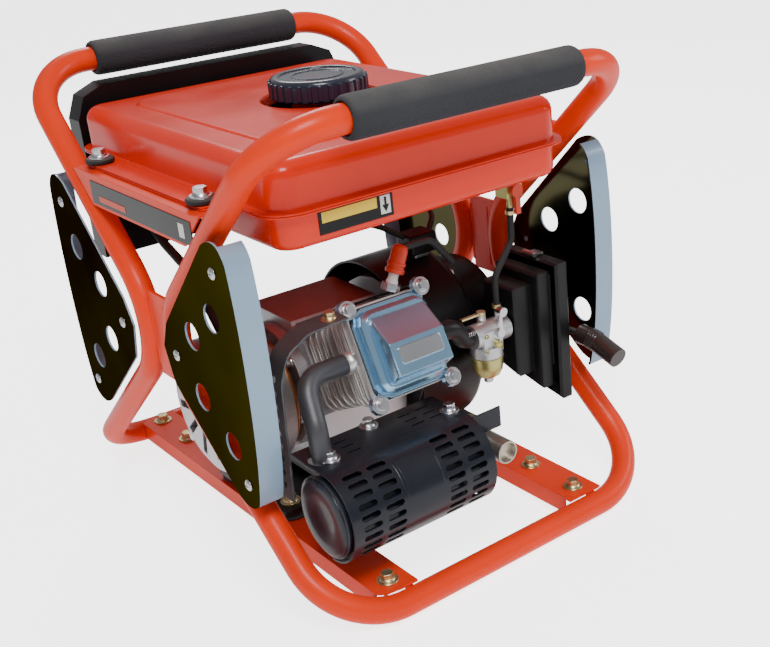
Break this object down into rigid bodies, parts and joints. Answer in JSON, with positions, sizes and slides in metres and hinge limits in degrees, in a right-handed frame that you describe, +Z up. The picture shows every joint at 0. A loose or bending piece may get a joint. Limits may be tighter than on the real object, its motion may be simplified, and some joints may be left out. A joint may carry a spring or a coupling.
{
  "type": "portable generator",
  "caption": "Open-frame portable petrol generator: twin tube loops, fuel tank, lean-back single-cylinder engine, alternator and a rear control panel.",
  "frame": {"origin": "on the ground, under the middle of the frame", "axes": "+Z up, -Y front (cylinder head and muffler side), +X recoil starter end"},
  "size_m": [0.43, 0.5452, 0.4785],
  "materials": {
    "frame_paint": "gloss",
    "foam": "rough closed-cell foam",
    "guard_metal": "gloss",
    "tank_paint": "gloss",
    "black_plastic": "satin",
    "black_sheet": "satin",
    "rubber": "matte",
    "cast_aluminium": "as cast",
    "valve_cover_metal": "lacquered",
    "steel": "zinc plated",
    "exhaust_steel": "heat dulled",
    "muffler_black": "satin heat-proof paint",
    "copper": "varnished copper windings",
    "brass": "passivated",
    "signal_red": "gloss",
    "cap_plastic": "gloss",
    "grey_plastic": "satin"
  },
  "bodies": {
    "frame": {"frame_loop_front": "frame_paint", "frame_loop_rear": "frame_paint", "end_plate_left": "frame_paint", "end_plate_right": "frame_paint", "base_channel_left": "frame_paint", "base_channel_right": "frame_paint", "side_guard_left_front": "guard_metal", "side_guard_left_rear": "guard_metal", "side_guard_right_front": "guard_metal", "side_guard_right_rear": "guard_metal", "foam_grip_front": "foam", "foam_grip_rear": "foam", "filter_element": "foam", "tank_lower_shell": "tank_paint", "tank_upper_shell": "tank_paint", "fuel_hose": "rubber", "fuel_tap": "brass", "float_bowl": "brass", "spark_plug": "steel", "engine_bed": "black_sheet", "blower_shroud": "black_sheet", "recoil_cover": "black_sheet", "control_box": "black_sheet", "crankcase": "cast_aluminium", "crankcase_side_cover": "cast_aluminium", "cylinder_barrel": "cast_aluminium", "cylinder_head": "cast_aluminium", "piston_with_pin": "cast_aluminium", "carburettor": "cast_aluminium", "alternator_end_bell": "cast_aluminium", "valve_cover": "valve_cover_metal", "volt_meter": "grey_plastic", "duplex_socket": "grey_plastic", "plug_cap_and_lead": "signal_red", "intake_pipe": "black_plastic", "filter_base": "black_plastic", "filter_cover": "black_plastic", "fascia": "black_plastic", "exhaust_pipe": "exhaust_steel", "exhaust_guard": "exhaust_steel", "muffler_body": "muffler_black", "muffler_shield": "muffler_black", "stator": "copper"},
    "crank": {"crankshaft": "steel", "flywheel_fan": "cast_aluminium", "rotor": "copper"},
    "pull_handle": {"recoil_grip": "rubber"},
    "reel": {"starter_reel": "grey_plastic"},
    "cap_seal": {"cap_gasket": "rubber"},
    "cap": {"fuel_cap": "cap_plastic"},
    "tap_lever": {"fuel_tap_lever": "steel"},
    "choke": {"choke_lever": "steel"},
    "throttle": {"throttle_arm": "steel"},
    "clip": {"filter_clip": "steel"},
    "switch": {"engine_switch_rocker": "signal_red"},
    "breaker": {"breaker_button": "signal_red"},
    "lid_left": {"socket_lid_left": "grey_plastic"},
    "lid_right": {"socket_lid_right": "grey_plastic"},
    "dipstick": {"oil_dipstick": "black_plastic"}
  },
  "joints": [
    {"name": "crank_spin", "type": "hinge", "parent": "frame", "child": "crank", "pos_m": [0, -0.02, 0.149], "axis": [1, 0, 0], "continuous": true},
    {"name": "handle_pull", "type": "slide", "parent": "frame", "child": "pull_handle", "axis": [0, -1, 0], "range_m": [0, 0.5], "stiffness_N_per_m": 30, "springref_m": -0.3},
    {"name": "reel_spin", "type": "hinge", "parent": "frame", "child": "reel", "pos_m": [0, -0.02, 0.149], "axis": [1, 0, 0], "range_deg": [0, 580]},
    {"name": "cap_lift", "type": "slide", "parent": "frame", "child": "cap_seal", "axis": [0, 0, 1], "range_m": [0, 0.04]},
    {"name": "cap_turn", "type": "hinge", "parent": "cap_seal", "child": "cap", "pos_m": [0.008, 0.004, 0.43], "axis": [0, 0, 1], "range_deg": [0, 90]},
    {"name": "tap_turn", "type": "hinge", "parent": "frame", "child": "tap_lever", "pos_m": [0.118, -0.162, 0.33], "axis": [0, 1, 0], "range_deg": [0, 90]},
    {"name": "choke_turn", "type": "hinge", "parent": "frame", "child": "choke", "pos_m": [0.085, -0.163, 0.188], "axis": [0, 1, 0], "range_deg": [-60, 0]},
    {"name": "throttle_turn", "type": "hinge", "parent": "frame", "child": "throttle", "pos_m": [0.077, -0.143, 0.206], "axis": [0, 0, 1], "range_deg": [0, 35], "stiffness_Nm_per_rad": 0.02, "springref_deg": -28.65},
    {"name": "clip_swing", "type": "hinge", "parent": "frame", "child": "clip", "pos_m": [0.148, -0.141, 0.2513], "axis": [0, -1, 0], "range_deg": [0, 100]},
    {"name": "switch_rock", "type": "hinge", "parent": "frame", "child": "switch", "pos_m": [0.104, 0.244, 0.376], "axis": [1, 0, 0], "range_deg": [-16, 0]},
    {"name": "breaker_press", "type": "slide", "parent": "frame", "child": "breaker", "axis": [0, -1, 0], "range_m": [0, 0.003], "stiffness_N_per_m": 300, "springref_m": -0.005},
    {"name": "lid_left_swing", "type": "hinge", "parent": "frame", "child": "lid_left", "pos_m": [-0.028, 0.2493, 0.348], "axis": [1, 0, 0], "range_deg": [0, 100], "stiffness_Nm_per_rad": 0.02, "springref_deg": -57.3},
    {"name": "lid_right_swing", "type": "hinge", "parent": "frame", "child": "lid_right", "pos_m": [0.042, 0.2493, 0.348], "axis": [1, 0, 0], "range_deg": [0, 100], "stiffness_Nm_per_rad": 0.02, "springref_deg": -57.3},
    {"name": "dipstick_pull", "type": "slide", "parent": "frame", "child": "dipstick", "axis": [0, 1, 0], "range_m": [0, 0.055]}
  ],
  "couplings": [
    {"joint": "reel_spin", "follows": "handle_pull", "rad_per_m": 20}
  ]
}
